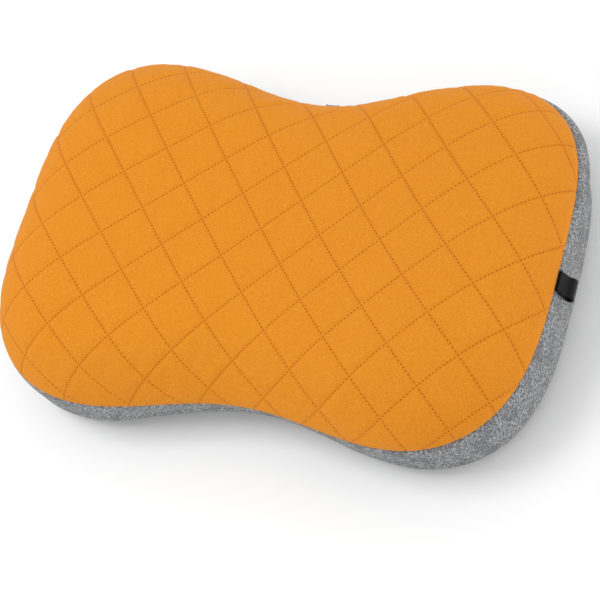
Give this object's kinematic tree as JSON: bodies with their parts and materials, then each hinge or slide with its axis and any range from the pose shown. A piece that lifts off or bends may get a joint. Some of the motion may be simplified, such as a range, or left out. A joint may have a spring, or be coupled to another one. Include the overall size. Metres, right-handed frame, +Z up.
{
  "type": "camp pillow",
  "caption": "Butterfly-shaped inflatable pillow: a quilted cover with a zip and end loops over an air bladder with tie ribs and a valve with hinged caps.",
  "frame": {"origin": "centre of the footprint, on the surface that the pillow rests on", "axes": "+X along the pillow's length, +Y towards the deeper waist and the valve, +Z up"},
  "size_m": [0.4754, 0.3091, 0.1064],
  "materials": {
    "orange_face_fabric": "brushed micro-fleece, quilted",
    "quilt_wadding": "lofted fibre wadding",
    "quilt_backing": "thin plain lining",
    "grey_knit": "heathered knit",
    "seam_tape": "woven binding",
    "black_webbing": "ribbed webbing",
    "zip_tape": "woven zip tape",
    "zip_plastic": "moulded",
    "bladder_film": "smooth thermoplastic film",
    "valve_plastic": "moulded, satin",
    "valve_rubber": "soft silicone",
    "valve_cap": "moulded, satin"
  },
  "bodies": {
    "pillow": {"quilted_top_panel": "orange_face_fabric", "quilt_wadding": "quilt_wadding", "quilt_backing": "quilt_backing", "cover_base": "grey_knit", "seam_tape": "seam_tape", "zip_tape_front": "zip_tape", "zip_tape_rear": "zip_tape", "zip_teeth_front": "zip_plastic", "zip_teeth_rear": "zip_plastic", "zip_end_stops": "zip_plastic", "valve_hole_binding": "seam_tape", "bladder_top_film": "bladder_film", "bladder_bottom_film": "bladder_film", "tie_rib_1": "bladder_film", "tie_rib_2": "bladder_film", "tie_rib_3": "bladder_film", "tie_rib_4": "bladder_film", "tie_rib_5": "bladder_film", "valve_body": "valve_plastic", "valve_seal_ring": "valve_rubber"},
    "right_loop": {"loop_right": "black_webbing"},
    "left_loop": {"loop_left": "black_webbing"},
    "slider": {"zip_slider": "zip_plastic"},
    "puller": {"zip_puller": "zip_plastic"},
    "lid": {"deflate_lid": "valve_plastic"},
    "flap": {"check_flap": "valve_rubber"},
    "cap": {"inflate_cap": "valve_cap"}
  },
  "joints": [
    {"name": "right_loop_swing", "type": "hinge", "parent": "pillow", "child": "right_loop", "pos_m": [0.2273, -0.0105, 0.0662], "axis": [0, -1, 0], "range_deg": [0, 120]},
    {"name": "left_loop_swing", "type": "hinge", "parent": "pillow", "child": "left_loop", "pos_m": [-0.2273, -0.0105, 0.0662], "axis": [0, 1, 0], "range_deg": [0, 120]},
    {"name": "zip_slide", "type": "slide", "parent": "pillow", "child": "slider", "axis": [-1, 0, 0], "range_m": [0, 0.164]},
    {"name": "puller_swing", "type": "hinge", "parent": "slider", "child": "puller", "pos_m": [0.083, 0, 0.0023], "axis": [0, -1, 0], "range_deg": [0, 150]},
    {"name": "deflate_lid_hinge", "type": "hinge", "parent": "pillow", "child": "lid", "pos_m": [0, 0.13386, 0.0441], "axis": [1, 0, 0], "range_deg": [0, 150]},
    {"name": "inflate_cap_hinge", "type": "hinge", "parent": "lid", "child": "cap", "pos_m": [0, 0.13666, 0.0183], "axis": [-1, 0, 0], "range_deg": [0, 150]},
    {"name": "check_flap_hinge", "type": "hinge", "parent": "lid", "child": "flap", "pos_m": [0, 0.13256, 0.0349], "axis": [-1, 0, 0], "range_deg": [0, 50], "stiffness_Nm_per_rad": 0.0002}
  ]
}
